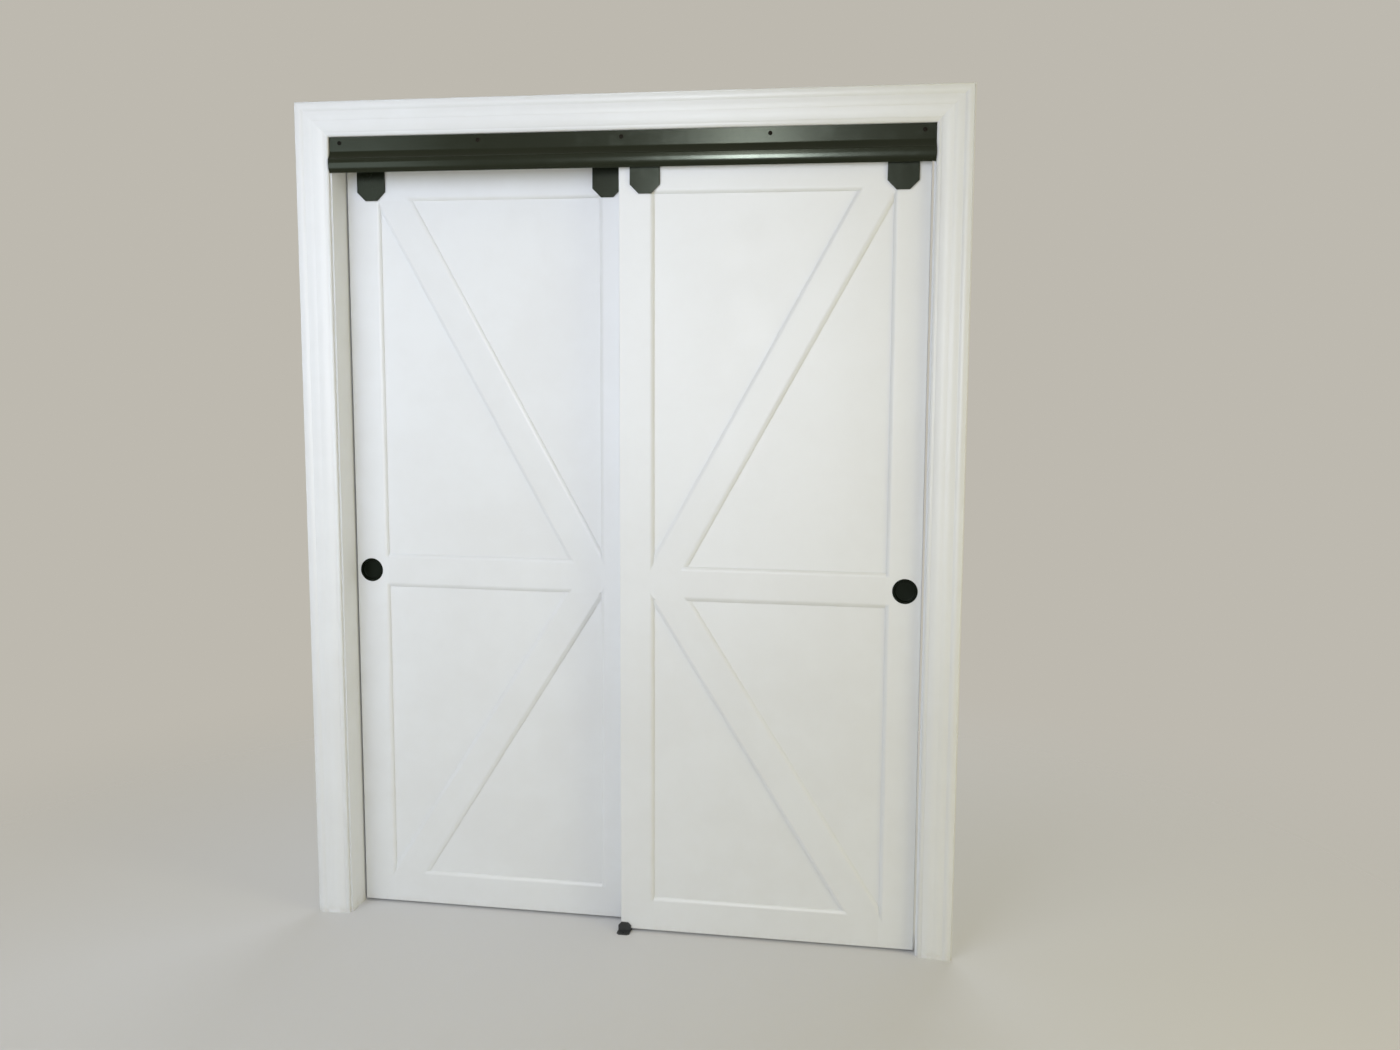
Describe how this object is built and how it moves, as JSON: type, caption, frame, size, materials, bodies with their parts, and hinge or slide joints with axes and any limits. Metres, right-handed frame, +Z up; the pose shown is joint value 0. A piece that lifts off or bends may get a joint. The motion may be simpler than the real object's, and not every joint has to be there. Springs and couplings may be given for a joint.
{
  "type": "pair of bypass sliding barn doors in a cased frame",
  "caption": "White bypass barn doors with braced, bevelled boards, dark hanger straps, flush cup pulls and track cover, in a moulded white cased frame.",
  "frame": {"origin": "centre of the bounding box's footprint, on the floor", "axes": "+Z up, +X to the right as seen from the room, +Y into the wall; the room side faces -Y"},
  "size_m": [1.709, 0.138, 2.1575],
  "materials": {
    "frame_paint": "white satin paint on wood",
    "door_paint": "white satin paint on board",
    "dark_steel": "dark bronze powder coat, semi-gloss",
    "dark_pull": "near-black powder coat, satin",
    "track_metal": "mill finish",
    "wheel_plastic": "natural nylon",
    "guide_plastic": "black moulded",
    "stop_rubber": "black"
  },
  "bodies": {
    "frame": {"casing_head": "frame_paint", "casing_left": "frame_paint", "casing_right": "frame_paint", "fascia": "dark_steel", "floor_guide": "guide_plastic", "front_rail_stop_left": "stop_rubber", "front_rail_stop_right": "stop_rubber", "head_jamb": "frame_paint", "jamb_left": "frame_paint", "jamb_right": "frame_paint", "rear_rail_stop_left": "stop_rubber", "rear_rail_stop_right": "stop_rubber", "track": "track_metal"},
    "front_door": {"front_bottom_rail": "door_paint", "front_inner_stile": "door_paint", "front_lower_brace": "door_paint", "front_mid_rail": "door_paint", "front_outer_stile": "door_paint", "front_pull": "dark_pull", "front_slab": "door_paint", "front_strap_inner": "dark_steel", "front_strap_outer": "dark_steel", "front_top_rail": "door_paint", "front_upper_brace": "door_paint"},
    "front_wheel_outer_set": {"front_wheel_outer": "wheel_plastic"},
    "front_wheel_inner_set": {"front_wheel_inner": "wheel_plastic"},
    "rear_door": {"rear_bottom_rail": "door_paint", "rear_inner_stile": "door_paint", "rear_lower_brace": "door_paint", "rear_mid_rail": "door_paint", "rear_outer_stile": "door_paint", "rear_pull": "dark_pull", "rear_slab": "door_paint", "rear_strap_inner": "dark_steel", "rear_strap_outer": "dark_steel", "rear_top_rail": "door_paint", "rear_upper_brace": "door_paint"},
    "rear_wheel_outer_set": {"rear_wheel_outer": "wheel_plastic"},
    "rear_wheel_inner_set": {"rear_wheel_inner": "wheel_plastic"}
  },
  "joints": [
    {"name": "front_door_slide", "type": "slide", "parent": "frame", "child": "front_door", "axis": [1, 0, 0], "range_m": [-0.746, 0]},
    {"name": "front_wheel_outer_roll", "type": "hinge", "parent": "front_door", "child": "front_wheel_outer_set", "pos_m": [0.69, -0.029, 2.0383], "axis": [0, 1, 0], "continuous": true},
    {"name": "front_wheel_inner_roll", "type": "hinge", "parent": "front_door", "child": "front_wheel_inner_set", "pos_m": [0.056, -0.029, 2.0383], "axis": [0, 1, 0], "continuous": true},
    {"name": "rear_door_slide", "type": "slide", "parent": "frame", "child": "rear_door", "axis": [1, 0, 0], "range_m": [0, 0.746]},
    {"name": "rear_wheel_outer_roll", "type": "hinge", "parent": "rear_door", "child": "rear_wheel_outer_set", "pos_m": [-0.69, 0.036, 2.0383], "axis": [0, 1, 0], "continuous": true},
    {"name": "rear_wheel_inner_roll", "type": "hinge", "parent": "rear_door", "child": "rear_wheel_inner_set", "pos_m": [-0.056, 0.036, 2.0383], "axis": [0, 1, 0], "continuous": true}
  ],
  "couplings": [
    {"joint": "front_wheel_outer_roll", "follows": "front_door_slide", "rad_per_m": 76.923},
    {"joint": "front_wheel_inner_roll", "follows": "front_door_slide", "rad_per_m": 76.923},
    {"joint": "rear_wheel_outer_roll", "follows": "rear_door_slide", "rad_per_m": 76.923},
    {"joint": "rear_wheel_inner_roll", "follows": "rear_door_slide", "rad_per_m": 76.923}
  ]
}
